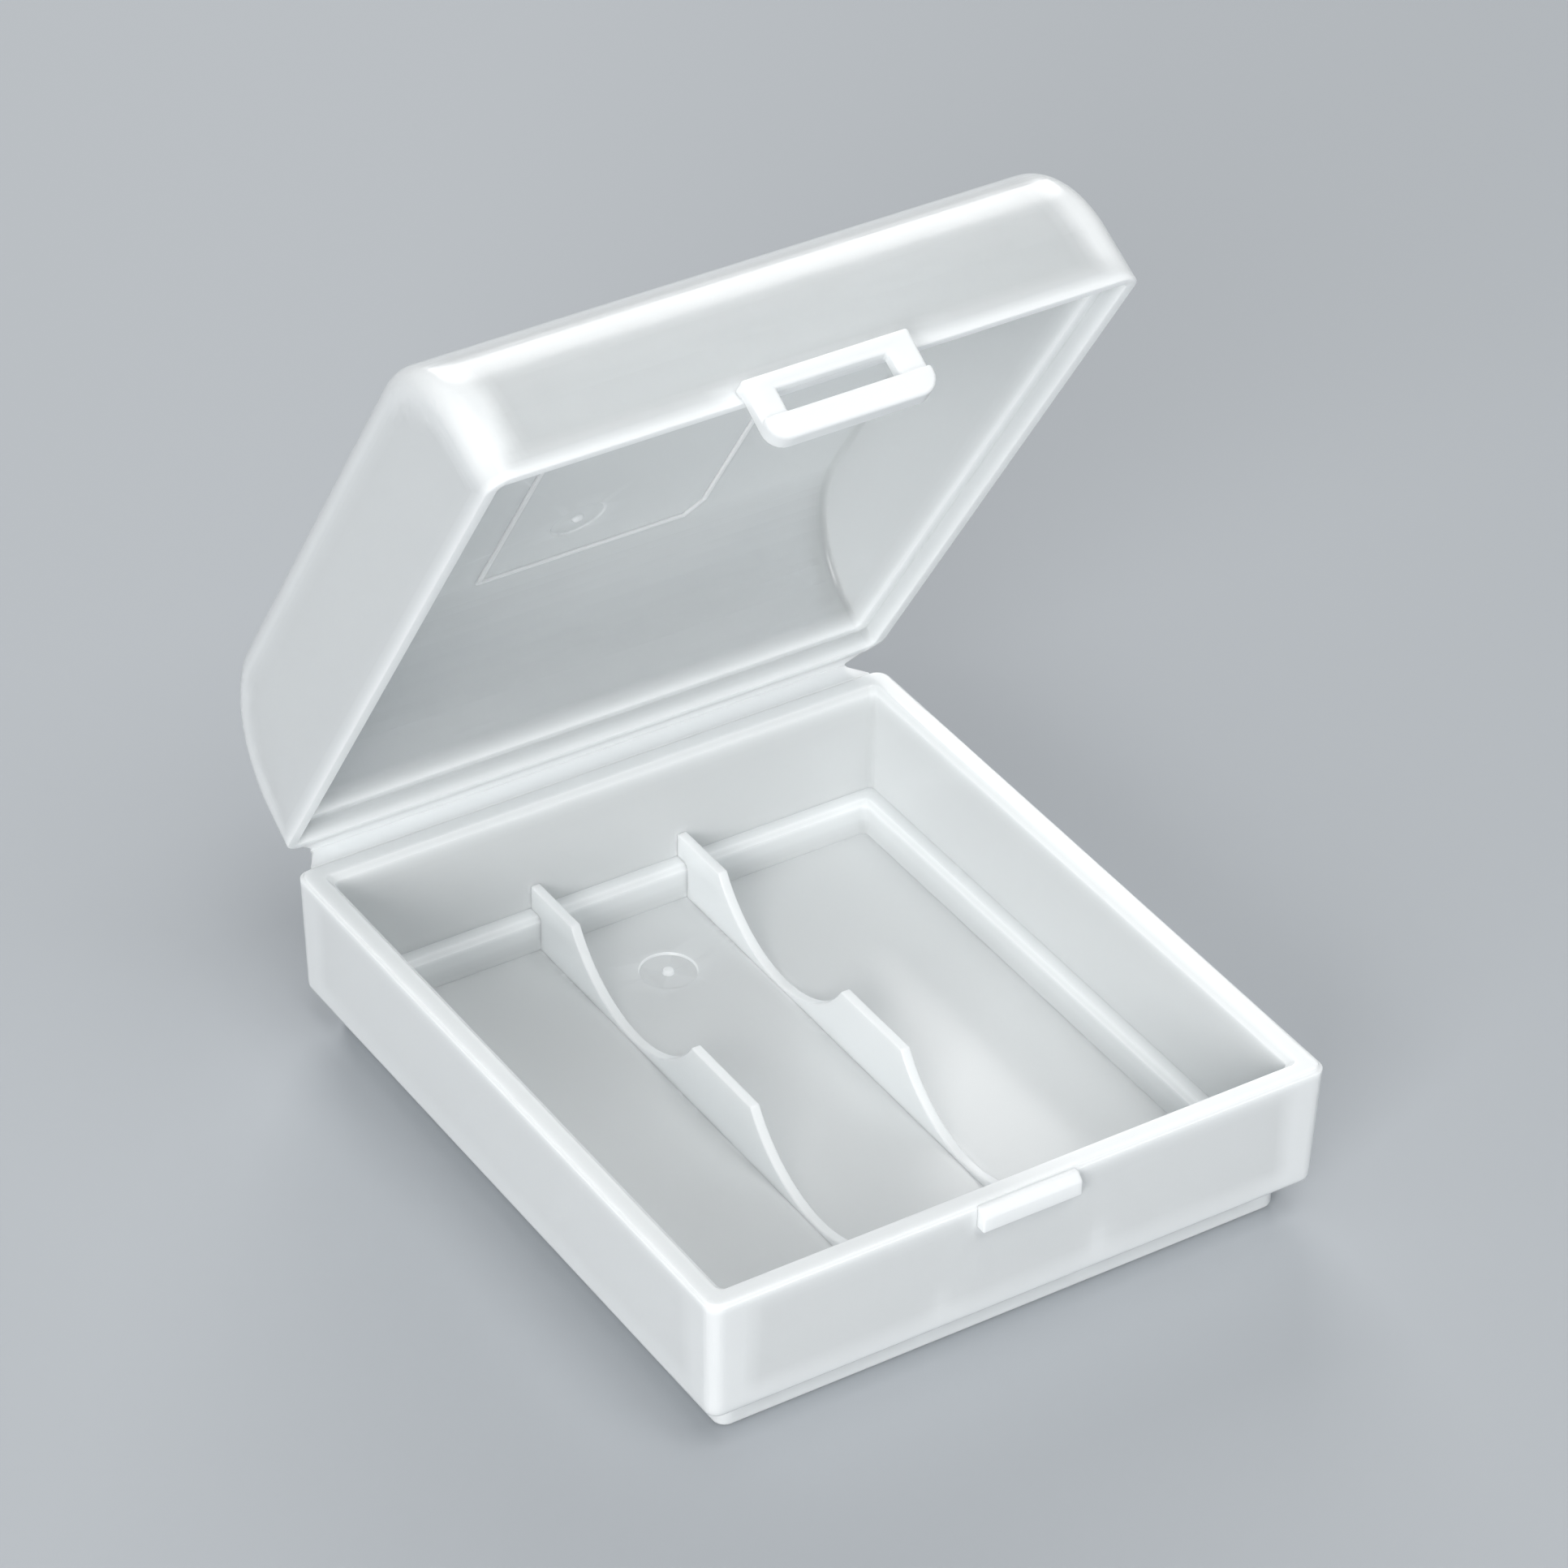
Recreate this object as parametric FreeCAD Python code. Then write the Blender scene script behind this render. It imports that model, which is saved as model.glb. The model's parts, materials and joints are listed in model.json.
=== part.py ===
"""Flip-lid case for two cylindrical cells, moulded in one shot from natural polypropylene.

Millimetres, +Z up. The origin is the centre of the flat foot under the tray. X runs along the
hinge, the hinge is at the back (+Y) and the latch at the front (-Y).

The tray stands on a sunken foot. The lid is modelled shut, in the same axes as the tray, and is then
turned about the fold line to the half-open pose in which the case is kept. The whole case is one
moulding, so its members touch face to face; only the fold and the root of the latch tab bend.
"""
import FreeCAD
import Part
import math
import os

# The two cells that the case is made for
cell_diameter = 26.5
cell_length = 65.2
cell_clearance = 1.6
cell_end_clearance = 0.3

# Walls and floors of the tray
wall_thickness = 3.0
wall_height = 15.3
wall_draft = 0.4
floor_thickness = 1.4
ledge_thickness = 1.6
ledge_width = 2.1
foot_height = 4.2
foot_wall = 2.0
outer_corner_radius = 1.5
inner_corner_radius = 0.8
base_edge_radius = 1.0
foot_edge_radius = 0.6
rim_bevel = 0.7
ledge_bevel = 0.6

# Cross ribs with their round cradles
rib_spacing = 19.1
rib_thickness = 1.2
rib_height = 7.4
cradle_web = 0.4
rib_end_flat = 8.7
rib_centre_flat = 12.0

# Round mark where the plastic was injected, on the tray's floor
gate_diameter = 6.7
gate_depth = 0.25
gate_nub_diameter = 1.4
gate_nub_height = 0.2
gate_from_ledge = 10.6

# Lid
lid_overhang = 0.6
lid_height = 19.1
lid_wall = 2.6
lid_top_thickness = 1.7
lid_back_radius = 14.5
lid_front_radius = 13.0
lid_front_draft = 1.2
lid_edge_radius = 2.5
lid_inner_edge_radius = 0.8
skirt_thickness = 1.4
skirt_height = 1.8

# Living hinge
hinge_reach = 2.5
closing_gap = 0.1
leaf_thickness = 0.9
leaf_end_inset = 2.5
leaf_flare = 1.5
web_half_width = 0.4
web_thickness = 0.35
rest_open_angle = 57.8

# Catch on the tray's front wall
catch_width = 12.2
catch_height = 2.7
catch_drop = 0.2
catch_reach = 1.2
catch_bevel = 0.8

# Latch tab on the lid
latch_width = 19.7
latch_drop = 5.9
latch_plate = 1.8
latch_stand_off = 0.7
latch_bar_height = 2.9
latch_bar_swell = 0.8
latch_corner_radius = 2.2
latch_pivot_drop = 0.4
latch_root_height = 1.2
latch_root_bevel = 0.7
window_clearance = 0.5
running_clearance = 0.1

# Raised outlines round two bare fields on the inside of the lid's panel
label_width = 28.6
label_shift = 4.0
side_label_width = 9.0
side_label_from_wall = 6.8
label_back_margin = 0.1
label_front_margin = 3.0
label_cut_width = 1.8
label_cut_length = 3.2
label_bead_width = 0.6
label_bead_height = 0.3

# How far a cutting or trimming tool runs past what it cuts
overrun = 1.0

# Sizes that follow from the ones above
cradle_radius = cell_diameter / 2 + cell_clearance
cradle_rise = rib_height - cradle_web
cradle_chord = 2 * math.sqrt(cradle_radius ** 2 - (cradle_radius - cradle_rise) ** 2)
pocket_width = cell_length + 2 * cell_end_clearance
cavity_width = pocket_width + 2 * ledge_width
cavity_depth = 2 * (rib_end_flat + cradle_chord) + rib_centre_flat
pocket_depth = cavity_depth - 2 * ledge_width
tray_width = cavity_width + 2 * wall_thickness
tray_depth = cavity_depth + 2 * wall_thickness
rim_z = foot_height + wall_height
ledge_z = foot_height + ledge_thickness
foot_width = pocket_width + 2 * foot_wall
foot_depth = pocket_depth + 2 * foot_wall

back_y = tray_depth / 2
front_y = -tray_depth / 2
lid_back_y = back_y + lid_overhang
lid_front_y = front_y - lid_overhang
lid_width = tray_width + 2 * lid_overhang
lid_low_z = rim_z + closing_gap
lid_shoulder_z = lid_low_z + skirt_height
lid_top_z = rim_z + lid_height
fold_y = back_y + hinge_reach
fold_z = rim_z + closing_gap / 2
leaf_half_length = lid_width / 2 - leaf_end_inset - leaf_flare
lid_lean = math.atan2(lid_front_draft, lid_height)
panel_back_y = lid_back_y - lid_back_radius
panel_front_y = lid_front_y + lid_front_draft + lid_front_radius * math.tan((math.pi / 2 - lid_lean) / 2)
side_label_x = -lid_width / 2 + lid_wall + side_label_from_wall

latch_inner_y = front_y - latch_stand_off
latch_pivot_y = latch_inner_y - latch_plate / 2
latch_pivot_z = rim_z - latch_pivot_drop
latch_low_z = rim_z - latch_drop
latch_bar_z = latch_low_z + latch_bar_height
window_width = catch_width + 2 * window_clearance


def vector(x, y, z):
    return FreeCAD.Vector(x, y, z)


def rounded_outline(width, depth, radius, height):
    """Closed wire of a rectangle with round corners, centred on the Z axis at the given height."""
    x = width / 2
    y = depth / 2
    reach = radius * (1 - math.sqrt(0.5))
    corners = ((1, 1), (-1, 1), (-1, -1), (1, -1))
    edges = []
    last = None
    first = None
    for index, (sx, sy) in enumerate(corners):
        along_x = vector(sx * (x - radius), sy * y, height)
        along_y = vector(sx * x, sy * (y - radius), height)
        middle = vector(sx * (x - reach), sy * (y - reach), height)
        start, end = (along_y, along_x) if index % 2 == 0 else (along_x, along_y)
        if last is not None:
            edges.append(Part.LineSegment(last, start).toShape())
        else:
            first = start
        edges.append(Part.Arc(start, middle, end).toShape())
        last = end
    edges.append(Part.LineSegment(last, first).toShape())
    return Part.Wire(edges)


def tapered_block(low_size, high_size, radius, low_z, high_z):
    """Solid between two rounded rectangles, each given as (width, depth)."""
    low = rounded_outline(low_size[0], low_size[1], radius, low_z)
    high = rounded_outline(high_size[0], high_size[1], radius, high_z)
    return Part.makeLoft([low, high], True, True)


def grown(size, amount):
    return (size[0] + 2 * amount, size[1] + 2 * amount)


def edges_at(shape, height):
    """Edges that lie flat at one height."""
    flat = []
    for edge in shape.Edges:
        box = edge.BoundBox
        if math.isclose(box.ZMin, height, abs_tol=1e-4) and math.isclose(box.ZMax, height, abs_tol=1e-4):
            flat.append(edge)
    return flat


def box_between(low, high):
    size = [high[i] - low[i] for i in range(3)]
    return Part.makeBox(size[0], size[1], size[2], vector(low[0], low[1], low[2]))


def extruded(points, direction):
    """Prism of a closed polygon."""
    return Part.Face(Part.makePolygon(points + points[:1])).extrude(direction)


def tray_block():
    """Outside of the tray's walls, without the foot."""
    rim_size = (tray_width, tray_depth)
    block = tapered_block(grown(rim_size, -wall_draft), rim_size, outer_corner_radius, foot_height, rim_z)
    return block.makeFillet(base_edge_radius, edges_at(block, foot_height))


def make_tray_shell():
    foot_size = (foot_width, foot_depth)
    foot = tapered_block(foot_size, foot_size, outer_corner_radius, 0, ledge_z)
    foot = foot.makeFillet(foot_edge_radius, edges_at(foot, 0))
    shell = tray_block().fuse(foot)

    mouth = (cavity_width, cavity_depth)
    pocket = (pocket_width, pocket_depth)
    above = rim_z + overrun
    cavity = tapered_block(mouth, mouth, inner_corner_radius, ledge_z, above)
    low_pocket = tapered_block(pocket, pocket, inner_corner_radius, floor_thickness, ledge_z + overrun)
    rim_flare = tapered_block(mouth, grown(mouth, rim_bevel), inner_corner_radius, rim_z - rim_bevel, rim_z)
    ledge_flare = tapered_block(pocket, grown(pocket, ledge_bevel), inner_corner_radius,
                                ledge_z - ledge_bevel, ledge_z)
    for tool in (cavity, low_pocket, rim_flare, ledge_flare):
        shell = shell.cut(tool)

    gate_y = pocket_depth / 2 - gate_from_ledge
    gate_floor = floor_thickness - gate_depth
    recess = Part.makeCylinder(gate_diameter / 2, gate_depth + overrun, vector(0, gate_y, gate_floor))
    nub = Part.makeCylinder(gate_nub_diameter / 2, gate_depth + gate_nub_height,
                            vector(0, gate_y, gate_floor - gate_nub_height))
    return shell.cut(recess).fuse(nub).removeSplitter()


def make_rib(centre_x, tray_shell):
    """One cross rib: high at both ends and in the middle, with two round cradles between."""
    low_x = centre_x - rib_thickness / 2
    high_x = low_x + rib_thickness
    top_z = floor_thickness + rib_height
    low_part = box_between((low_x, -pocket_depth / 2, floor_thickness), (high_x, pocket_depth / 2, ledge_z))
    high_part = box_between((low_x, -cavity_depth / 2, ledge_z - ledge_bevel),
                            (high_x, cavity_depth / 2, top_z))
    blank = low_part.fuse(high_part)
    cradle_z = floor_thickness + cradle_web + cradle_radius
    for side in (-1, 1):
        cradle_y = side * (rib_centre_flat + cradle_chord) / 2
        cradle = Part.makeCylinder(cradle_radius, rib_thickness + 2 * overrun,
                                   vector(low_x - overrun, cradle_y, cradle_z), vector(1, 0, 0))
        blank = blank.cut(cradle)
    return blank.cut(tray_shell).removeSplitter()


def make_front_catch():
    """Small raised bar below the rim, bevelled on top so that the latch rides over it."""
    top = rim_z - catch_drop
    low = top - catch_height
    face = front_y - catch_reach
    points = [vector(-catch_width / 2, front_y + wall_draft, low),
              vector(-catch_width / 2, face, low),
              vector(-catch_width / 2, face, top - catch_bevel),
              vector(-catch_width / 2, face + catch_bevel, top),
              vector(-catch_width / 2, front_y + wall_draft, top)]
    return extruded(points, vector(catch_width, 0, 0)).cut(tray_block())


def hinge_leaf(wall_y, low_z):
    """Flat strip from a back wall to the fold, flared towards the wall, as a shut case has it."""
    wall_half = leaf_half_length + leaf_flare
    root_y = wall_y - wall_draft
    end_y = fold_y - web_half_width
    points = [vector(-wall_half, root_y, low_z), vector(wall_half, root_y, low_z),
              vector(wall_half, wall_y, low_z), vector(leaf_half_length, end_y, low_z),
              vector(-leaf_half_length, end_y, low_z), vector(-wall_half, wall_y, low_z)]
    return extruded(points, vector(0, 0, leaf_thickness))


def opened(shape):
    """Turn a member of the shut lid about the fold line to the pose in which the case is kept."""
    turned = shape.copy()
    turned.rotate(vector(0, fold_y, fold_z), vector(1, 0, 0), -rest_open_angle)
    return turned


def make_hinge_web():
    """Thin bent membrane at the fold, joining the inner half of both leaf ends."""
    angle = math.radians(rest_open_angle)
    inner = closing_gap / 2
    outer = inner + web_thickness

    def tray_side(y, z):
        return vector(-leaf_half_length, fold_y + y, fold_z + z)

    def lid_side(y, z):
        turned_y = y * math.cos(angle) + z * math.sin(angle)
        turned_z = z * math.cos(angle) - y * math.sin(angle)
        return tray_side(turned_y, turned_z)

    def bend(radius):
        """Round stretch about the fold line, from under the tray's leaf to over the lid's."""
        middle = tray_side(radius * math.cos(angle / 2), -radius * math.sin(angle / 2))
        return Part.Arc(tray_side(0, -radius), middle, lid_side(0, radius)).toShape()

    def line(start, end):
        return Part.LineSegment(start, end).toShape()

    tray_end = tray_side(-web_half_width, -outer)
    lid_end = lid_side(-web_half_width, outer)
    tray_inner = tray_side(-web_half_width, -inner)
    lid_inner = lid_side(-web_half_width, inner)
    outline = Part.Wire([line(tray_inner, tray_end), line(tray_end, tray_side(0, -outer)), bend(outer),
                         line(lid_side(0, outer), lid_end), line(lid_end, lid_inner),
                         line(lid_inner, lid_side(0, inner)), bend(inner),
                         line(tray_side(0, -inner), tray_inner)])
    return Part.Face(outline).extrude(vector(2 * leaf_half_length, 0, 0))


def lid_side_outline(x, inset, top_inset, low_z):
    """Side view of the lid: upright back, large back curve, flat panel, front curve, leaning front."""
    back = lid_back_y - inset
    front = lid_front_y + inset
    top = lid_top_z - top_inset
    back_radius = lid_back_radius - top_inset
    front_radius = lid_front_radius - top_inset
    slope = math.tan(lid_lean)
    front_top = front + slope * (top - rim_z)

    curve_centre = vector(x, back - back_radius, top - back_radius)
    diagonal = back_radius * math.sqrt(0.5)
    back_curve = Part.Arc(vector(x, back, top - back_radius),
                          curve_centre + vector(0, diagonal, diagonal),
                          vector(x, back - back_radius, top))

    turn = math.pi / 2 - lid_lean
    start = vector(x, front_top + front_radius * math.tan(turn / 2), top)
    centre = start - vector(0, 0, front_radius)
    middle = centre + vector(0, -front_radius * math.sin(turn / 2), front_radius * math.cos(turn / 2))
    end = centre + vector(0, -front_radius * math.sin(turn), front_radius * math.cos(turn))
    front_curve = Part.Arc(start, middle, end)

    low_front = vector(x, front + slope * (low_z - rim_z), low_z)
    low_back = vector(x, back, low_z)
    edges = [Part.LineSegment(low_back, vector(x, back, top - back_radius)), back_curve,
             Part.LineSegment(vector(x, back - back_radius, top), start), front_curve,
             Part.LineSegment(end, low_front), Part.LineSegment(low_front, low_back)]
    return Part.Wire([edge.toShape() for edge in edges])


def lid_block(side_inset, inset, top_inset, low_z, edge_radius):
    """Solid lid form with its long side edges rounded."""
    half = lid_width / 2 - side_inset
    outline = lid_side_outline(-half, inset, top_inset, low_z)
    block = Part.Face(outline).extrude(vector(2 * half, 0, 0))
    rounded = []
    for edge in block.Edges:
        box = edge.BoundBox
        flat_in_x = math.isclose(box.XMin, box.XMax, abs_tol=1e-4)
        on_opening = math.isclose(box.ZMax, low_z, abs_tol=1e-4)
        if flat_in_x and not on_opening:
            rounded.append(edge)
    return block.makeFillet(edge_radius, rounded)


def make_lid_shell():
    outside = lid_block(0, 0, 0, lid_shoulder_z, lid_edge_radius)
    inside = lid_block(lid_wall, lid_wall, lid_top_thickness, lid_shoulder_z - overrun,
                       lid_inner_edge_radius)
    return outside.cut(inside)


def make_lid_rim_skirt():
    """Thin outer lip below the shoulder of the lid's walls, resting on the tray's rim when shut."""
    outside = lid_block(0, 0, 0, lid_low_z, lid_edge_radius)
    inner_width = lid_width - 2 * skirt_thickness
    inner_depth = tray_depth + 2 * (lid_overhang - skirt_thickness)
    hollow = tapered_block((inner_width, inner_depth), (inner_width, inner_depth), inner_corner_radius,
                           lid_low_z - overrun, lid_shoulder_z + overrun)
    above = box_between((-lid_width, -tray_depth, lid_shoulder_z), (lid_width, tray_depth, lid_top_z + overrun))
    return outside.cut(hollow).cut(above)


def make_latch_root():
    """Thick bridge on the lid's front wall from which the tab hangs."""
    low = latch_pivot_z + latch_plate / 2 + running_clearance
    top = low + latch_root_height
    face = latch_inner_y - latch_plate
    inside = lid_front_y + lid_wall / 2
    left = -latch_width / 2
    points = [vector(left, inside, low), vector(left, face, low),
              vector(left, face, top - latch_root_bevel), vector(left, face + latch_root_bevel, top),
              vector(left, inside, top)]
    bridge = extruded(points, vector(latch_width, 0, 0))
    return bridge.cut(closed_lid)


def make_latch_tab():
    """Springy tab: a round top edge on the bending line, two legs, a window and a thick hook bar."""
    left = -latch_width / 2
    outer_y = latch_inner_y - latch_plate
    plate = box_between((left, outer_y, latch_low_z), (-left, latch_inner_y, latch_pivot_z))
    hinge_edge = Part.makeCylinder(latch_plate / 2, latch_width,
                                   vector(left, latch_pivot_y, latch_pivot_z), vector(1, 0, 0))
    bar_inner = front_y - catch_reach - running_clearance
    swell = box_between((left, outer_y - latch_bar_swell, latch_low_z), (-left, outer_y, latch_bar_z))
    tab = plate.fuse(hinge_edge).fuse(swell)

    behind_bar = box_between((-window_width / 2, bar_inner, latch_low_z - overrun),
                             (window_width / 2, latch_inner_y + overrun, latch_bar_z))
    window_top = rim_z - catch_drop + running_clearance
    window = box_between((-window_width / 2, outer_y - overrun, latch_bar_z),
                         (window_width / 2, latch_inner_y + overrun, window_top))
    tab = tab.cut(behind_bar).cut(window)

    depth = latch_plate + latch_bar_swell + 2 * overrun
    for side in (-1, 1):
        corner_x = side * (latch_width / 2 - latch_corner_radius)
        low_x = min(corner_x, side * (latch_width / 2 + overrun))
        square = box_between((low_x, outer_y - latch_bar_swell - overrun, latch_low_z - overrun),
                             (low_x + latch_corner_radius + overrun, outer_y - latch_bar_swell - overrun + depth,
                              latch_low_z + latch_corner_radius))
        disc = Part.makeCylinder(latch_corner_radius, depth,
                                 vector(corner_x, outer_y - latch_bar_swell - overrun,
                                        latch_low_z + latch_corner_radius), vector(0, 1, 0))
        tab = tab.cut(square.cut(disc))
    return tab.removeSplitter()


def make_label_frame(left, right, cut_side):
    """Raised bead round a bare field on the underside of the panel, with one back corner cut."""
    top = lid_top_z - lid_top_thickness
    back = panel_back_y - label_back_margin
    front = panel_front_y + label_front_margin
    square_x, cut_x = (left, right) if cut_side > 0 else (right, left)

    def outline(inset):
        near = cut_x - cut_side * inset
        far = square_x + cut_side * inset
        shift = inset / 2
        return [vector(far, front + inset, top), vector(near, front + inset, top),
                vector(near, back - label_cut_length - shift, top),
                vector(near - cut_side * (label_cut_width - shift), back - inset, top),
                vector(far, back - inset, top)]

    down = vector(0, 0, -label_bead_height)
    bead = extruded(outline(0), down).cut(extruded(outline(label_bead_width), down))
    return bead.cut(closed_lid_shell)


tray_shell = make_tray_shell()
closed_lid = lid_block(0, 0, 0, lid_low_z, lid_edge_radius)
closed_lid_shell = make_lid_shell()
members = {
    "tray_shell": tray_shell,
    "divider_rib_left": make_rib(-rib_spacing / 2, tray_shell),
    "divider_rib_right": make_rib(rib_spacing / 2, tray_shell),
    "front_catch": make_front_catch(),
    "tray_hinge_leaf": hinge_leaf(back_y, rim_z - leaf_thickness).cut(tray_block()),
    "hinge_web": make_hinge_web(),
    "lid_hinge_leaf": opened(hinge_leaf(lid_back_y, lid_low_z).cut(closed_lid)),
    "lid_shell": opened(closed_lid_shell),
    "lid_rim_skirt": opened(make_lid_rim_skirt()),
    "label_frame": opened(make_label_frame(label_shift - label_width / 2, label_shift + label_width / 2, 1)),
    "side_label_frame": opened(make_label_frame(side_label_x, side_label_x + side_label_width, -1)),
    "latch_root": opened(make_latch_root()),
    "latch_tab": opened(make_latch_tab()),
}

os.makedirs("parts", exist_ok=True)
for name, shape in members.items():
    shape.exportStep(os.path.join("parts", name + ".step"))
    box = shape.BoundBox
    print(name, "valid", shape.isValid(), "solids", len(shape.Solids), "volume", round(shape.Volume, 1),
          "y", round(box.YMin, 2), round(box.YMax, 2), "z", round(box.ZMin, 2), round(box.ZMax, 2))
print("tray", round(tray_width, 2), "x", round(tray_depth, 2), "rim", round(rim_z, 2),
      "shut height", round(lid_top_z, 2), "fold line y", round(fold_y, 3), "z", round(fold_z, 3))
print("latch pivot, shut: y", round(latch_pivot_y, 3), "z", round(latch_pivot_z, 3))
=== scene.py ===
# %% [markdown]
# # A flip-lid case in natural polypropylene
#
# This case holds two thick cylindrical cells. It comes out of the mould in one piece: a tray, a lid, a
# thin living hinge between them and a springy latch tab on the lid's front. Everything is the same
# milky, see-through plastic, so the whole look rests on two things: walls with their real thickness
# and rounded edges, and one plastic material, with a faint painted glow along its sharp edges.
#
# The measured model comes first, as a frame. Each visible piece below is then modelled on it.

# %% Load the frame
import json
import math

import bmesh
import bpy
from mathutils import Matrix, Vector
from mathutils.bvhtree import BVHTree


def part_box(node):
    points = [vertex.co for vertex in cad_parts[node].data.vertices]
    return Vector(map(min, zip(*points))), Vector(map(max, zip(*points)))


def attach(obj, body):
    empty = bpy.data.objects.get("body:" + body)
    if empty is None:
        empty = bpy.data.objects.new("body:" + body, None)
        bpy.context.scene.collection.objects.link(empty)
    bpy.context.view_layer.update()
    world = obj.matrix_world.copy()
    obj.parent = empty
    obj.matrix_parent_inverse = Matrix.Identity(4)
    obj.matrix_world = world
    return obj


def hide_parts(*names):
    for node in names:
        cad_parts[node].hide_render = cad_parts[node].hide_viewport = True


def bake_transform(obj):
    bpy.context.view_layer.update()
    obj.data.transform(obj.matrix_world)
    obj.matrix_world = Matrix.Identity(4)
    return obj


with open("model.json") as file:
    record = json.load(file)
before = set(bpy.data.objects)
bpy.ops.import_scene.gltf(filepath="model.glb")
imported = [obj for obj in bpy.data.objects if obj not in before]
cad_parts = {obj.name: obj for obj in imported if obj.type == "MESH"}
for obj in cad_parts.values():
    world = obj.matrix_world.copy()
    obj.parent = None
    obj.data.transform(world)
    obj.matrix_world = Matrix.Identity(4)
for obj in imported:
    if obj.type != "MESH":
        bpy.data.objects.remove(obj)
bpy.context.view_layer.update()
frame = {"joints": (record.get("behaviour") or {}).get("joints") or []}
mm = 0.001

# %% [markdown]
# ## Where the moving parts turn
#
# The lid was modelled shut and then turned about the fold. The frame keeps the fold line and the
# angle, so the pieces of the lid can be drawn shut here too, with level and upright walls, and turned
# at the very end. That is much easier than drawing a slanted lid.

# %% The fold and the rest angle
joints = {joint["name"]: joint for joint in frame["joints"]}
fold = Vector(joints["lid_hinge"]["pos_m"])
rest_angle = math.radians(-joints["lid_hinge"]["range_deg"][0])
to_rest = (Matrix.Translation(fold) @ Matrix.Rotation(-rest_angle, 4, "X")
           @ Matrix.Translation(-fold))
print("lid stands open by", round(math.degrees(rest_angle), 1), "degrees")

# %% [markdown]
# ## The driving sizes
#
# The frame gives the outer sizes of the tray and the lid. The wall and the small steps inside are the
# mould maker's own sizes, so they are named here once, in millimetres.

# %% Sizes of the tray
tray_low, tray_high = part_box("tray_shell")
tray_width = tray_high.x - tray_low.x
tray_depth = tray_high.y - tray_low.y
rim_z = tray_high.z
wall = 3.0 * mm
draft = 0.4 * mm
floor_thickness = 1.4 * mm
foot_height = 4.2 * mm
foot_wall = 2.0 * mm
ledge_width = 2.1 * mm
ledge_rise = 1.6 * mm
ledge_z = foot_height + ledge_rise
rim_bevel = 0.7 * mm
ledge_bevel = 0.6 * mm
outer_corner = 1.5 * mm
inner_corner = 0.8 * mm
cavity = (tray_width - 2 * wall, tray_depth - 2 * wall)
pocket = (cavity[0] - 2 * ledge_width, cavity[1] - 2 * ledge_width)
print("tray", round(tray_width / mm, 2), "x", round(tray_depth / mm, 2), "mm")

# %% Sizes of the lid
lid_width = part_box("lid_shell")[1].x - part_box("lid_shell")[0].x
overhang = (lid_width - tray_width) / 2
rim_gap = 0.1 * mm
lid_low = rim_z + rim_gap
lid_height = 19.1 * mm
lid_top = rim_z + lid_height
lid_wall = 2.6 * mm
lid_panel = 1.7 * mm
lid_back_curve = 14.5 * mm
lid_front_curve = 13.0 * mm
lid_front_draft = 1.2 * mm
lid_front_lean = lid_front_draft / lid_height
lid_edge = 2.5 * mm
skirt_wall = 1.4 * mm
lip_height = 2.2 * mm
shoulder_z = lid_low + lip_height
lid_back = tray_depth / 2 + overhang
lid_front = -lid_back
print("lid", round(lid_width / mm, 2), "x", round(2 * lid_back / mm, 2), "mm")

# %% [markdown]
# ## Natural polypropylene
#
# Polypropylene without pigment is partly crystalline. The crystals scatter light, so thin walls look
# like frosted glass and thick places turn milky white. A Principled shader does both at once: part of
# the light goes through a rough glassy surface and the rest is scattered under the skin. Its
# refractive index is 1.49. The mould was lightly blasted, which leaves a satin skin with fine grain.

# %% Small helpers for materials
def linear(hex_colour):
    """Colour of a hex value, as the shader wants it."""
    channels = [int(hex_colour[i:i + 2], 16) / 255 for i in (1, 3, 5)]
    return [c / 12.92 if c <= 0.04045 else ((c + 0.055) / 1.055) ** 2.4 for c in channels] + [1]


def add_node(tree, kind, settings=None, **inputs):
    """Add one node, with its settings, input values and links."""
    node = tree.nodes.new(kind)
    for name, value in (settings or {}).items():
        setattr(node, name, value)
    for name, value in inputs.items():
        socket = node.inputs[name.replace("_", " ")]
        if isinstance(value, bpy.types.NodeSocket):
            tree.links.new(value, socket)
        else:
            socket.default_value = value
    return node


# %% [markdown]
# A thin flat wall lets most light through, and a thick place or an edge almost none. Each piece carries
# an attribute for that, from 0 for milky to 1 for clear, which a later cell measures on the finished
# shapes. Seen edge on, a wall is milkier too, because the way through it is longer. A second attribute
# marks the sharp edges, where a faint white glow is painted on as emission. It stands in for light that
# runs along inside the wall and comes out there.

# %% The plastic
grain_size = 0.35 * mm
grain_depth = 0.02 * mm
cloud_size = 9 * mm
cloud_change = 0.04
scatter_depth = 1 * mm
slant_where_milky = 0.6
milky_white = "#F3F6F7"
clear_name = "clearness"
painted_glow_attribute = "edge"
# Strength of the painted edge glow, a white emission and not a lamp.
painted_edge_glow_strength = 0.07


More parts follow.
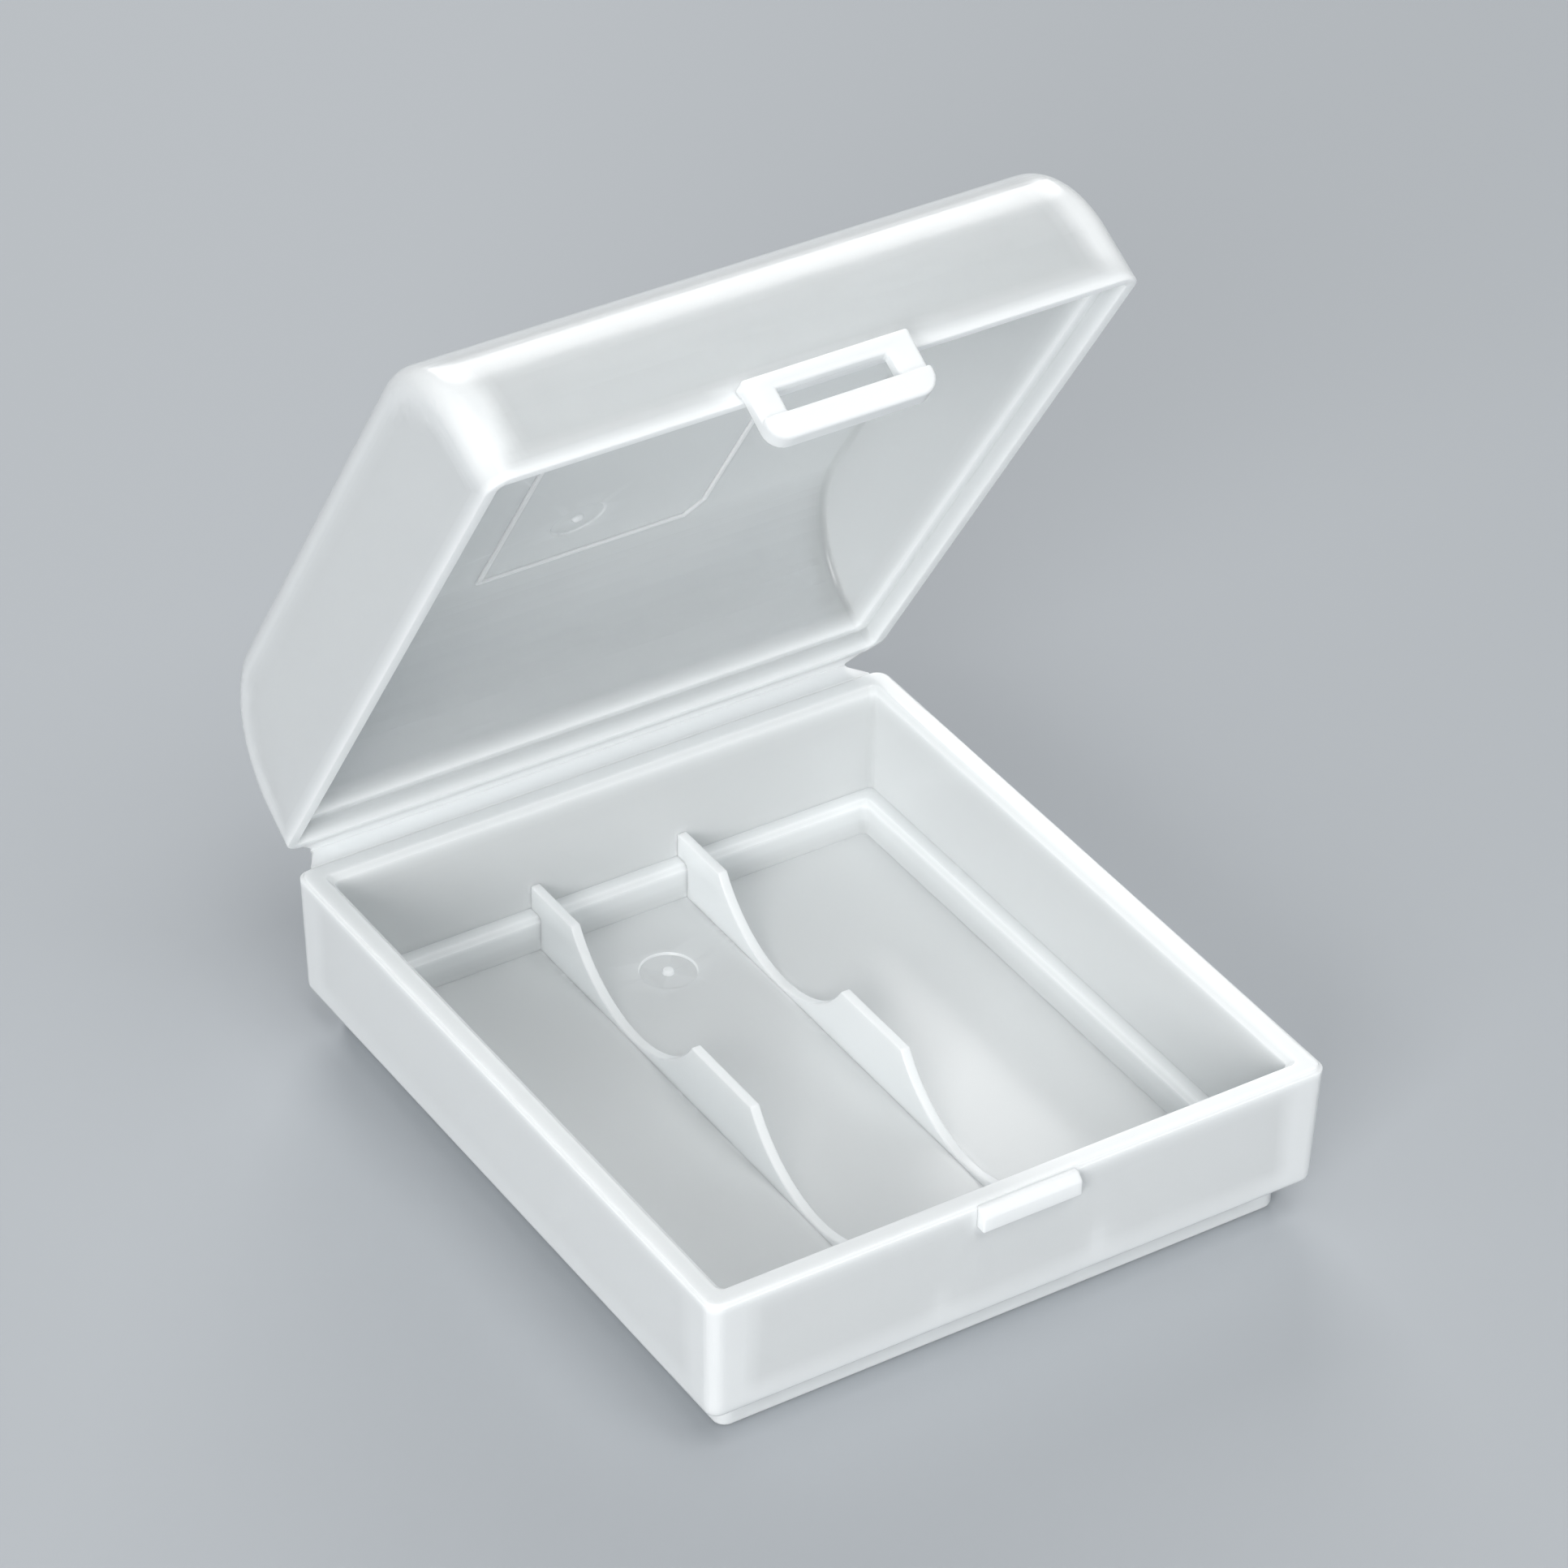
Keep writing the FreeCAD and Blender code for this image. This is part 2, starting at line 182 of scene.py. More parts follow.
def milky_plastic(name, clarity, roughness):
    """clarity is the share of light that goes through the clearest places."""
    material = bpy.data.materials.new(name)
    material.use_nodes = True
    tree = material.node_tree
    tree.nodes.clear()
    clear = add_node(tree, "ShaderNodeAttribute", {"attribute_name": clear_name}).outputs["Fac"]
    edge_on = add_node(tree, "ShaderNodeLayerWeight", Blend=0.25).outputs["Facing"]
    share = add_node(tree, "ShaderNodeMapRange", Value=edge_on, From_Max=slant_where_milky,
                     To_Min=clarity, To_Max=0.0)
    through = add_node(tree, "ShaderNodeMath", {"operation": "MULTIPLY"})
    tree.links.new(clear, through.inputs[0])
    tree.links.new(share.outputs["Result"], through.inputs[1])

    place = add_node(tree, "ShaderNodeTexCoord").outputs["Object"]
    grain = add_node(tree, "ShaderNodeTexNoise", Vector=place, Scale=1 / grain_size, Detail=2.0)
    cloud = add_node(tree, "ShaderNodeTexNoise", Vector=place, Scale=1 / cloud_size, Detail=3.0)
    satin = add_node(tree, "ShaderNodeMapRange", Value=cloud.outputs["Fac"],
                     To_Min=roughness - cloud_change, To_Max=roughness + cloud_change)
    bump = add_node(tree, "ShaderNodeBump", Height=grain.outputs["Fac"], Strength=0.15,
                    Distance=grain_depth)
    plastic = add_node(tree, "ShaderNodeBsdfPrincipled", Roughness=satin.outputs["Result"],
                       Normal=bump.outputs["Normal"],
                       Transmission_Weight=through.outputs["Value"])
    # Painted glow: a white emission along sharp edges that stands in for light coming out of the plastic
    # there.
    painted_glow_mask = add_node(tree, "ShaderNodeAttribute", {"attribute_name": painted_glow_attribute}).outputs["Fac"]
    painted_glow = add_node(tree, "ShaderNodeMapRange", Value=painted_glow_mask, To_Max=painted_edge_glow_strength)
    tree.links.new(painted_glow.outputs["Result"], plastic.inputs["Emission Strength"])
    plastic.inputs["Emission Color"].default_value = linear(milky_white)
    plastic.inputs["Base Color"].default_value = linear(milky_white)
    plastic.inputs["IOR"].default_value = 1.49
    plastic.inputs["Subsurface Weight"].default_value = 1
    plastic.inputs["Subsurface Radius"].default_value = (1, 1, 1)
    plastic.inputs["Subsurface Scale"].default_value = scatter_depth
    out = add_node(tree, "ShaderNodeOutputMaterial")
    tree.links.new(plastic.outputs["BSDF"], out.inputs["Surface"])
    return material


lid_plastic = milky_plastic("milky_polypropylene_lid", 0.65, 0.2)
tray_plastic = milky_plastic("milky_polypropylene_tray", 0.34, 0.2)
narrow_plastic = milky_plastic("milky_polypropylene_narrow", 0.15, 0.25)
print("three finishes with", len(lid_plastic.node_tree.nodes), "nodes each")

# %% [markdown]
# ## Finishing a piece
#
# Every piece ends the same way. Doubled points are merged, normals are pointed outwards, and sharp edges
# get the small radius that any moulded edge has. Most pieces are then tied to the body that they move
# with.
# The large flat faces are also cut into small ones, because clearness is measured at their corners.
# Edges and faces are picked by their place, to within the length called near.

# %% Helpers that finish a piece
edge_radius = 0.25 * mm
merged_within = 0.002 * mm
near = 0.4 * mm
sharp_angle = math.radians(35)
plastic_pieces = []
from_edge = [distance * mm for distance in (0.6, 1.1, 1.8, 2.6, 3.6)]
closest_lines = 0.45 * mm


def soften(bm, radius=edge_radius, steps=2):
    """Round every sharp edge of a closed shape."""
    bmesh.ops.remove_doubles(bm, verts=bm.verts[:], dist=merged_within)
    bmesh.ops.recalc_face_normals(bm, faces=bm.faces[:])
    sharp = [e for e in bm.edges if len(e.link_faces) == 2 and e.calc_face_angle() > sharp_angle]
    bmesh.ops.bevel(bm, geom=sharp, offset=radius, offset_type="OFFSET", segments=steps, profile=0.5,
                    affect="EDGES", clamp_overlap=True, material=-1)
    bmesh.ops.recalc_face_normals(bm, faces=bm.faces[:])


def cut_lines(bm, axis, edges, spacing=4 * mm):
    """Cut faces across an axis (0 is X): close together beside each edge, and evenly between them."""
    normal = Vector([1 if axis == i else 0 for i in range(3)])
    low, high = min(edges), max(edges)
    count = math.ceil((high - low) / spacing)
    places = [low + (high - low) * step / count for step in range(1, count)]
    places += [edge + side * distance for edge in edges for distance in from_edge for side in (-1, 1)]
    last = low
    for place in sorted(place for place in places if low < place < high):
        if place - last > closest_lines:
            bmesh.ops.bisect_plane(bm, geom=bm.verts[:] + bm.edges[:] + bm.faces[:], dist=0.001 * mm,
                                   plane_co=normal * place, plane_no=normal)
            last = place


def finish_piece(bm, name, material, *nodes):
    """Turn a bmesh into a smooth-shaded object that stands for these measured nodes."""
    mesh = bpy.data.meshes.new(name)
    bm.to_mesh(mesh)
    open_edges = sum(len(e.link_faces) != 2 for e in bm.edges)
    volume = bm.calc_volume()
    bm.free()
    piece = bpy.data.objects.new(name, mesh)
    bpy.context.scene.collection.objects.link(piece)
    mesh.shade_smooth()
    flat = piece.modifiers.new("flat faces stay flat", "WEIGHTED_NORMAL")
    flat.keep_sharp = True
    mesh.materials.append(material)
    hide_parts(*nodes)
    plastic_pieces.append(piece)
    print(name, len(mesh.polygons), "faces,", round(volume / mm ** 3, 1), "mm3, open edges", open_edges)
    return piece


# %% [markdown]
# ## The tray
#
# The tray is a stack of rounded rectangles: up the outside from the foot, over the rim, and down the
# inside past the ledge to the floor. The lowest one is a one-face grid with its corners bevelled
# round. Its edges are then extruded from level to level, and each new loop is fitted to its own size
# and corner radius. That gives even, four-sided faces all the way round.

# %% Loops from level to level
corner_steps = 6


def ring(bm, size, radius, height):
    """Closed loop of edges: a rectangle with round corners, flat at one height."""
    place = Matrix.Translation((0, 0, height)) @ Matrix.Diagonal((size[0], size[1], 1, 1))
    corners = bmesh.ops.create_grid(bm, x_segments=1, y_segments=1, size=0.5, matrix=place)["verts"]
    rounded = bmesh.ops.bevel(bm, geom=corners, offset=radius, offset_type="OFFSET",
                              segments=corner_steps, profile=0.5, affect="VERTICES", material=-1)
    face = rounded["verts"][0].link_faces[0]
    edges = list(face.edges)
    bmesh.ops.delete(bm, geom=[face], context="FACES_ONLY")
    return edges


def next_level(bm, edges, last, level):
    """Extrude a loop of edges from one rounded rectangle to the next one."""
    made = bmesh.ops.extrude_edge_only(bm, edges=edges)["geom"]
    (last_size, last_radius, _), (size, radius, height) = last, level
    for vert in [g for g in made if isinstance(g, bmesh.types.BMVert)]:
        for axis in (0, 1):
            into_corner = abs(vert.co[axis]) - last_size[axis] / 2 + last_radius
            reach = size[axis] / 2 - radius + into_corner * radius / last_radius
            vert.co[axis] = math.copysign(reach, vert.co[axis])
        vert.co.z = height
    return [g for g in made if isinstance(g, bmesh.types.BMEdge)]


def grown(size, amount):
    return (size[0] + 2 * amount, size[1] + 2 * amount)


def arc_levels(radius, steps=4):
    """Inset and height of a quarter round, from its lowest point up."""
    for step in range(steps + 1):
        turn = math.pi / 2 * step / steps
        yield radius * (1 - math.sin(turn)), radius * (1 - math.cos(turn))


# %% The tray's outside, rim and inside
foot = grown(pocket, foot_wall)
tray_bottom = (tray_width - 2 * draft, tray_depth - 2 * draft)
tray_rim = (tray_width, tray_depth)
foot_edge = 0.6 * mm
base_edge = 1.0 * mm
rim_edge = 0.35 * mm

bm = bmesh.new()
levels = [(grown(foot, -inset), outer_corner - inset, height) for inset, height in arc_levels(foot_edge)]
levels.append((foot, outer_corner, foot_height))
for inset, height in arc_levels(base_edge):
    levels.append((grown(tray_bottom, -inset), outer_corner - inset, foot_height + height))
for inset, height in arc_levels(rim_edge):
    levels.append((grown(tray_rim, inset - rim_edge), outer_corner, rim_z - rim_edge + height))
levels += [
    (grown(cavity, rim_bevel), inner_corner, rim_z),
    (cavity, inner_corner, rim_z - rim_bevel),
    (cavity, inner_corner, ledge_z),
    (grown(pocket, ledge_bevel), inner_corner, ledge_z),
    (pocket, inner_corner, ledge_z - ledge_bevel),
    (pocket, inner_corner, floor_thickness),
]
lowest = ring(bm, *levels[0])
loop = lowest
for last, level in zip(levels, levels[1:]):
    loop = next_level(bm, loop, last, level)
floor_loop = loop
bmesh.ops.triangle_fill(bm, use_beauty=True, edges=lowest)
print("tray has", len(levels), "levels")

# %% [markdown]
# The floor has one mark: a shallow round dimple with a tiny nub, where the plastic went in. The lid has
# the same mark under its panel. The flat face is filled between its outline and the dimple's circle,
# and the circle's edges are then extruded into the plastic, inwards and out again.

# %% The floor with its dimple
gate_radius = 3.35 * mm
gate_depth = 0.3 * mm
nub_radius = 0.7 * mm
nub_height = 0.45 * mm
mark_steps = 48
mark_slope = 0.96
nub_slope = 0.8
gate_from_ledge = 10.6 * mm
gate_y = pocket[1] / 2 - gate_from_ledge
lid_gate_y = 19.8 * mm


def extruded_loop(bm, edges, scale, centre, rise):
    """Extrude a loop of edges once, scaled about a point and raised."""
    made = bmesh.ops.extrude_edge_only(bm, edges=edges)["geom"]
    verts = [g for g in made if isinstance(g, bmesh.types.BMVert)]
    bmesh.ops.scale(bm, verts=verts, vec=(scale, scale, 1), space=Matrix.Translation(-centre))
    bmesh.ops.translate(bm, verts=verts, vec=(0, 0, rise))
    return [g for g in made if isinstance(g, bmesh.types.BMEdge)]


def round_mark(bm, outline, centre, into):
    """Fill a flat outline and leave the mark in it. into is the way into the plastic: 1 is up."""
    circle = bmesh.ops.create_circle(bm, segments=mark_steps, radius=gate_radius,
                                     matrix=Matrix.Translation(centre))["verts"]
    edge = [e for e in bm.edges if e.verts[0] in circle and e.verts[1] in circle]
    bmesh.ops.triangle_fill(bm, use_beauty=True, edges=outline + edge)
    loop = extruded_loop(bm, edge, mark_slope, centre, into * gate_depth)
    loop = extruded_loop(bm, loop, nub_radius / gate_radius / mark_slope, centre, 0)
    loop = extruded_loop(bm, loop, nub_slope, centre, -into * nub_height)
    bmesh.ops.edgeloop_fill(bm, edges=loop)


round_mark(bm, floor_loop, Vector((0, gate_y, floor_thickness)), -1)
soften(bm, radius=0.15 * mm)
rib_spacing = 19.1 * mm
rib_height = 7.4 * mm
rib_top = floor_thickness + rib_height
for axis in (0, 1):
    halves = [size[axis] / 2 for size in (tray_rim, cavity, pocket)]
    ribs = [rib_spacing / 2] if axis == 0 else []
    cut_lines(bm, axis, [side * place for place in halves + ribs for side in (-1, 1)])
cut_lines(bm, 2, [0, floor_thickness, foot_height, ledge_z, rib_top, rim_z])
tray = finish_piece(bm, "tray_shell_moulded", tray_plastic, "tray_shell")
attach(tray, "tray")

# %% [markdown]
# ## The cross ribs
#
# Two thin ribs carry the cells in round cradles. Each one is a flat outline with two arcs, extruded to
# its thickness. Its foot and its ends reach a little into the floor and walls, as on a real moulding,
# where rib and floor are one piece.

# %% One rib, twice
rib_thickness = 1.2 * mm
cradle_radius = 14.85 * mm
cradle_low = floor_thickness + 0.4 * mm
rib_end_flat = 8.7 * mm
rib_centre_flat = 12.0 * mm
sunk = 0.3 * mm
cradle_steps = 24


def rib_outline():
    """Points (y, z) of the rib, from its low back corner round by way of the cradles."""
    low = floor_thickness - sunk
    step_z = ledge_z - sunk
    half_pocket = pocket[1] / 2 + sunk
    half_cavity = cavity[1] / 2 + sunk
    half_chord = (cavity[1] / 2 - rib_end_flat - rib_centre_flat / 2) / 2
    cradle_y = rib_centre_flat / 2 + half_chord
    turn = math.asin(half_chord / cradle_radius)
    cradle_z = cradle_low + cradle_radius
    half = [(half_pocket, low), (half_pocket, step_z), (half_cavity, step_z), (half_cavity, rib_top)]
    for step in range(cradle_steps + 1):
        angle = turn - 2 * turn * step / cradle_steps
        half.append((cradle_y + cradle_radius * math.sin(angle),
                     cradle_z - cradle_radius * math.cos(angle)))
    return half + [(-y, z) for y, z in reversed(half)]


for side, name in ((-1, "left"), (1, "right")):
    bm = bmesh.new()
    low_x = side * rib_spacing / 2 - rib_thickness / 2
    outline = [bm.verts.new((low_x, y, z)) for y, z in rib_outline()]
    made = bmesh.ops.extrude_face_region(bm, geom=[bm.faces.new(outline)])["geom"]
    bmesh.ops.translate(bm, verts=[g for g in made if isinstance(g, bmesh.types.BMVert)],
                        vec=(rib_thickness, 0, 0))
    soften(bm, radius=0.2 * mm)
    rib = finish_piece(bm, "divider_rib_" + name + "_moulded", narrow_plastic, "divider_rib_" + name)
    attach(rib, "tray")

# %% [markdown]
# ## The catch
#
# A small bar on the front wall, with a slope on top that the latch slides over.

# %% The catch
catch_width = 12.2 * mm
catch_height = 2.7 * mm
catch_top = rim_z - 0.2 * mm
catch_reach = 1.2 * mm
catch_slope = 0.8 * mm
front_wall = -tray_depth / 2

bm = bmesh.new()
catch_depth = catch_reach + 2 * draft
catch_middle = Vector((0, front_wall - catch_reach + catch_depth / 2, catch_top - catch_height / 2))
place = Matrix.Translation(catch_middle) @ Matrix.Diagonal((catch_width, catch_depth, catch_height, 1))
bmesh.ops.create_cube(bm, size=1, matrix=place)
outer_top = [e for e in bm.edges
             if all(v.co.z > catch_top - near and v.co.y < front_wall for v in e.verts)]
bmesh.ops.bevel(bm, geom=outer_top, offset=catch_slope, offset_type="OFFSET", segments=1, profile=0.5,
                affect="EDGES", material=-1)
soften(bm, radius=0.2 * mm)
catch = finish_piece(bm, "front_catch_moulded", narrow_plastic, "front_catch")
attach(catch, "tray")

# %% [markdown]
# ## The lid
#
# The lid starts as a box. Its front leans, its two top corners are bevelled with large radii, and then
# the side edges are rounded. The same function makes the hollow, smaller all round. Both lose their
# lower face, and the open loops are joined by a step, the shoulder, and a thin lip that sits on the
# tray's rim.

# %% The lid's form
curve_steps = 20


def lid_form(inset, top_inset, low, side_radius):
    """Closed lid shape with its lower face taken away."""
    half = lid_width / 2 - inset
    back = lid_back - inset
    front = lid_front + inset
    top = lid_top - top_inset
    bm = bmesh.new()
    place = (Matrix.Translation((0, (back + front) / 2, (top + low) / 2))
             @ Matrix.Diagonal((2 * half, back - front, top - low, 1)))
    bmesh.ops.create_cube(bm, size=1, matrix=place)
    for vert in bm.verts:
        if vert.co.y < 0:
            vert.co.y += lid_front_lean * (vert.co.z - rim_z)
    turn = math.pi / 2 - math.atan(lid_front_lean)
    curves = ((1, lid_back_curve - top_inset), (-1, (lid_front_curve - top_inset) * math.tan(turn / 2)))
    for side, reach in curves:
        edge = [e for e in bm.edges
                if all(v.co.z > top - near and side * v.co.y > 0 for v in e.verts)
                and abs(e.verts[0].co.x - e.verts[1].co.x) > half]
        bmesh.ops.bevel(bm, geom=edge, offset=reach, offset_type="OFFSET", segments=curve_steps,
                        profile=0.5, affect="EDGES", material=-1)
    sides = [e for e in bm.edges
             if abs(abs(sum(v.co.x for v in e.verts) / 2) - half) < near
             and sum(v.co.z for v in e.verts) / 2 > low + near]
    bmesh.ops.bevel(bm, geom=sides, offset=side_radius, offset_type="OFFSET", segments=corner_steps,
                    profile=0.5, affect="EDGES", material=-1)
    flat_sides = [f for f in bm.faces if len(f.verts) > 2 * corner_steps and abs(f.normal.x) > 0.99]
    for last, distance in zip([0] + from_edge, from_edge if inset == 0 else from_edge[:1]):
        bmesh.ops.inset_individual(bm, faces=flat_sides, thickness=distance - last, use_even_offset=True)
    lower = [f for f in bm.faces if all(abs(v.co.z - low) < 0.01 * mm for v in f.verts)]
    bmesh.ops.delete(bm, geom=lower, context="FACES_ONLY")
    return bm


def open_loop(bm):
    return [e for e in bm.edges if len(e.link_faces) == 1]


# %% The lid's hollow, shoulder and lip
def stretched_loop(bm, edges, half_x, half_y, height):
    """Extrude a loop of edges and stretch it to a given half width and half depth."""
    made = bmesh.ops.extrude_edge_only(bm, edges=edges)["geom"]
    verts = [g for g in made if isinstance(g, bmesh.types.BMVert)]
    wide = max(v.co.x for v in verts)
    back = max(v.co.y for v in verts)
    front = min(v.co.y for v in verts)
    for vert in verts:
        share = (vert.co.y - front) / (back - front)
        vert.co = (vert.co.x * half_x / wide, half_y * (2 * share - 1), height)
    return [g for g in made if isinstance(g, bmesh.types.BMEdge)]


hollow = lid_form(lid_wall, lid_panel, shoulder_z, inner_corner)
under_panel = max((f for f in hollow.faces if f.normal.z > 0.99), key=lambda f: f.calc_area())
panel_outline = list(under_panel.edges)
bmesh.ops.delete(hollow, geom=[under_panel], context="FACES_ONLY")
round_mark(hollow, panel_outline, Vector((0, lid_gate_y, lid_top - lid_panel)), 1)
lip_half_x = lid_width / 2 - skirt_wall
lip_half_y = lid_back - skirt_wall
shoulder = stretched_loop(hollow, open_loop(hollow), lip_half_x, lip_half_y, shoulder_z)
stretched_loop(hollow, shoulder, lip_half_x, lip_half_y, lid_low)
bmesh.ops.reverse_faces(hollow, faces=hollow.faces[:])
hollow_mesh = bpy.data.meshes.new("hollow")
hollow.to_mesh(hollow_mesh)
hollow.free()

# %% Join the lid's outside and its hollow
bm = lid_form(0, 0, lid_low, lid_edge)
bm.from_mesh(hollow_mesh)
bpy.data.meshes.remove(hollow_mesh)
bmesh.ops.bridge_loops(bm, edges=open_loop(bm))
soften(bm)
cut_lines(bm, 0, [side * (lid_width / 2 - lid_wall) for side in (-1, 1)])
cut_lines(bm, 1, [lid_front + lid_wall, lid_back - lid_wall])
cut_lines(bm, 2, [lid_low, shoulder_z, lid_top - lid_panel])
bmesh.ops.transform(bm, matrix=to_rest, verts=bm.verts[:])
lid = finish_piece(bm, "lid_shell_moulded", lid_plastic, "lid_shell", "lid_rim_skirt")
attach(lid, "lid")

# %% [markdown]
# ## The raised outlines in the lid
#
# Two thin beads frame two bare fields on the underside of the panel. One back corner of each is cut
# off. An outline of five points is filled, inset by the width of the bead, and only the border is kept.

# %% The two outlines
bead_width = 0.6 * mm
bead_height = 0.3 * mm
bead_sunk = 0.2 * mm
back_margin = 0.1 * mm
outline_back = lid_back - lid_back_curve - back_margin
front_turn = math.pi / 2 - math.atan(lid_front_lean)
front_margin = 3.0 * mm
outline_front = lid_front + lid_front_draft + lid_front_curve * math.tan(front_turn / 2) + front_margin
cut_wide = 1.8 * mm
cut_long = 3.2 * mm
side_margin = 6.8 * mm
side_left = -lid_width / 2 + lid_wall + side_margin
side_width = 9 * mm
label_left = -10.3 * mm
label_right = 18.3 * mm
fields = (("label_frame", label_left, label_right, 1),
          ("side_label_frame", side_left, side_left + side_width, -1))
panel_under = lid_top - lid_panel

for name, left, right, cut_side in fields:
    bm = bmesh.new()
    square_x, cut_x = (left, right) if cut_side > 0 else (right, left)
    points = [(square_x, outline_front), (cut_x, outline_front), (cut_x, outline_back - cut_long),
              (cut_x - cut_side * cut_wide, outline_back), (square_x, outline_back)]
    face = bm.faces.new([bm.verts.new((x, y, panel_under + bead_sunk)) for x, y in points])
    bm.normal_update()
    bmesh.ops.inset_individual(bm, faces=[face], thickness=bead_width, use_even_offset=True)
    bmesh.ops.delete(bm, geom=[face], context="FACES_ONLY")
    made = bmesh.ops.extrude_face_region(bm, geom=bm.faces[:])["geom"]
    bmesh.ops.translate(bm, verts=[g for g in made if isinstance(g, bmesh.types.BMVert)],
                        vec=(0, 0, -bead_height - bead_sunk))
    soften(bm, radius=0.12 * mm)
    bmesh.ops.transform(bm, matrix=to_rest, verts=bm.verts[:])
    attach(finish_piece(bm, name + "_moulded", narrow_plastic, name), "lid")

# %% [markdown]
# ## The living hinge
#
# Two flat leaves, one on the tray and one on the lid, meet in a web of a third of a millimetre. The
# whole strip is one section, extruded along the hinge. It is drawn at the lid's rest angle: the leaves
# are flat, and only the web turns.

# %% The hinge strip
leaf_thickness = 0.9 * mm
leaf_gap = 0.05 * mm
web_thickness = 0.35 * mm
web_half = 0.4 * mm
leaf_margin = 4.0 * mm
leaf_half = lid_width / 2 - leaf_margin
leaf_flare = 1.5 * mm
leaf_sunk = 0.3 * mm
web_steps = 8
tray_reach = fold.y - tray_depth / 2
lid_reach = fold.y - lid_back


def lid_side(y, z):
    """A point near the fold on the lid's side, turned with the lid. Both lengths are from the fold."""
    return (y * math.cos(rest_angle) + z * math.sin(rest_angle),
            z * math.cos(rest_angle) - y * math.sin(rest_angle))


def web_arc(radius, start, end):
    for step in range(web_steps + 1):
        angle = start + (end - start) * step / web_steps
        yield radius * math.sin(angle), -radius * math.cos(angle)


under = leaf_gap + leaf_thickness
outer = leaf_gap + web_thickness
turn = math.pi - rest_angle
section = [(-tray_reach - leaf_sunk, -leaf_gap), (-tray_reach - leaf_sunk, -under),
           (-tray_reach, -under), (-web_half, -under), (-web_half, -outer)]
section += list(web_arc(outer, 0, turn))
section += [lid_side(-web_half, outer), lid_side(-web_half, under), lid_side(-lid_reach, under),
            lid_side(-lid_reach - leaf_sunk, under), lid_side(-lid_reach - leaf_sunk, leaf_gap),
            lid_side(-lid_reach, leaf_gap), lid_side(-web_half, leaf_gap)]
section += list(web_arc(leaf_gap, turn, 0))
section += [(-web_half, -leaf_gap), (-tray_reach, -leaf_gap)]
print("hinge section has", len(section), "points")

# %% Extrude the strip and flare its roots
bm = bmesh.new()
outline = [bm.verts.new((-leaf_half, fold.y + y, fold.z + z)) for y, z in section]
made = bmesh.ops.extrude_face_region(bm, geom=[bm.faces.new(outline)])["geom"]
bmesh.ops.translate(bm, verts=[g for g in made if isinstance(g, bmesh.types.BMVert)],
                    vec=(2 * leaf_half, 0, 0))
for vert in bm.verts:
    if math.hypot(vert.co.y - fold.y, vert.co.z - fold.z) > lid_reach - leaf_gap:
        vert.co.x += math.copysign(leaf_flare, vert.co.x)
soften(bm, radius=0.1 * mm)
hinge = finish_piece(bm, "living_hinge_strip", narrow_plastic,
                     "tray_hinge_leaf", "hinge_web", "lid_hinge_leaf")
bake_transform(hinge)

# %% [markdown]
# ## The latch tab
#
# A tab hangs from a thick bridge on the lid's front wall. It has two legs, a window for the catch and a
# heavy bar to put a fingernail under. It is a small grid whose rows and columns are moved to the real
# sizes. The window's face is removed, the grid gets its thickness, and the bridge and the bar are
# extruded from it. The whole tab is then turned with the lid to its rest angle.

# %% The latch tab
latch_width = 19.7 * mm
latch_plate = 1.8 * mm
latch_stand_off = 0.7 * mm
latch_inner = front_wall - latch_stand_off
latch_low = rim_z - 5.9 * mm
bar_height = 2.9 * mm
bar_swell = 0.8 * mm
window_width = catch_width + 1.0 * mm
window_top = catch_top + 0.1 * mm
root_low = rim_z + 0.6 * mm
root_top = root_low + 1.2 * mm
root_reach = 1.2 * mm
latch_corner = 2.2 * mm
columns = (-latch_width / 2, -window_width / 2, window_width / 2, latch_width / 2)
rows = (latch_low, latch_low + bar_height, window_top, root_low, root_top)


def faces_in_row(faces, lower, upper):
    return [f for f in faces if lower < f.calc_center_median().z < upper]


def pushed_out(bm, faces, distance):
    """Extrude a patch of faces along Y and leave nothing behind inside the shape."""
    made = bmesh.ops.extrude_face_region(bm, geom=faces)["geom"]
    bmesh.ops.delete(bm, geom=faces, context="FACES")
    bmesh.ops.translate(bm, verts=[g for g in made if isinstance(g, bmesh.types.BMVert)],
                        vec=(0, distance, 0))


bm = bmesh.new()
turned = Matrix.Translation((0, latch_inner, 0)) @ Matrix.Rotation(math.pi / 2, 4, "X")
bmesh.ops.create_grid(bm, x_segments=3, y_segments=4, size=1, matrix=turned)
column_places = sorted({round(v.co.x, 4) for v in bm.verts})
row_places = sorted({round(v.co.z, 4) for v in bm.verts})
for vert in bm.verts:
    column = column_places.index(round(vert.co.x, 4))
    row = row_places.index(round(vert.co.z, 4))
    vert.co = (columns[column], latch_inner, rows[row])
window = [f for f in faces_in_row(bm.faces, rows[1], rows[2]) if abs(f.calc_center_median().x) < near]
bmesh.ops.delete(bm, geom=window, context="FACES")
made = bmesh.ops.extrude_face_region(bm, geom=bm.faces[:])["geom"]
bmesh.ops.translate(bm, verts=[g for g in made if isinstance(g, bmesh.types.BMVert)],
                    vec=(0, -latch_plate, 0))
bmesh.ops.recalc_face_normals(bm, faces=bm.faces[:])
inner_faces = [f for f in bm.faces if f.normal.y > 0.9]
outer_faces = [f for f in bm.faces if f.normal.y < -0.9]
pushed_out(bm, faces_in_row(inner_faces, rows[3], rows[4]), root_reach)
pushed_out(bm, faces_in_row(outer_faces, rows[0], rows[1]), -bar_swell)
bmesh.ops.remove_doubles(bm, verts=bm.verts[:], dist=merged_within)
corner = [e for e in bm.edges
          if all(v.co.z < latch_low + near and abs(v.co.x) > window_width / 2 + near for v in e.verts)]
bmesh.ops.bevel(bm, geom=corner, offset=latch_corner, offset_type="OFFSET", segments=corner_steps,
                profile=0.5, affect="EDGES", clamp_overlap=True, material=-1)
soften(bm, radius=0.35 * mm, steps=3)
bmesh.ops.transform(bm, matrix=to_rest, verts=bm.verts[:])
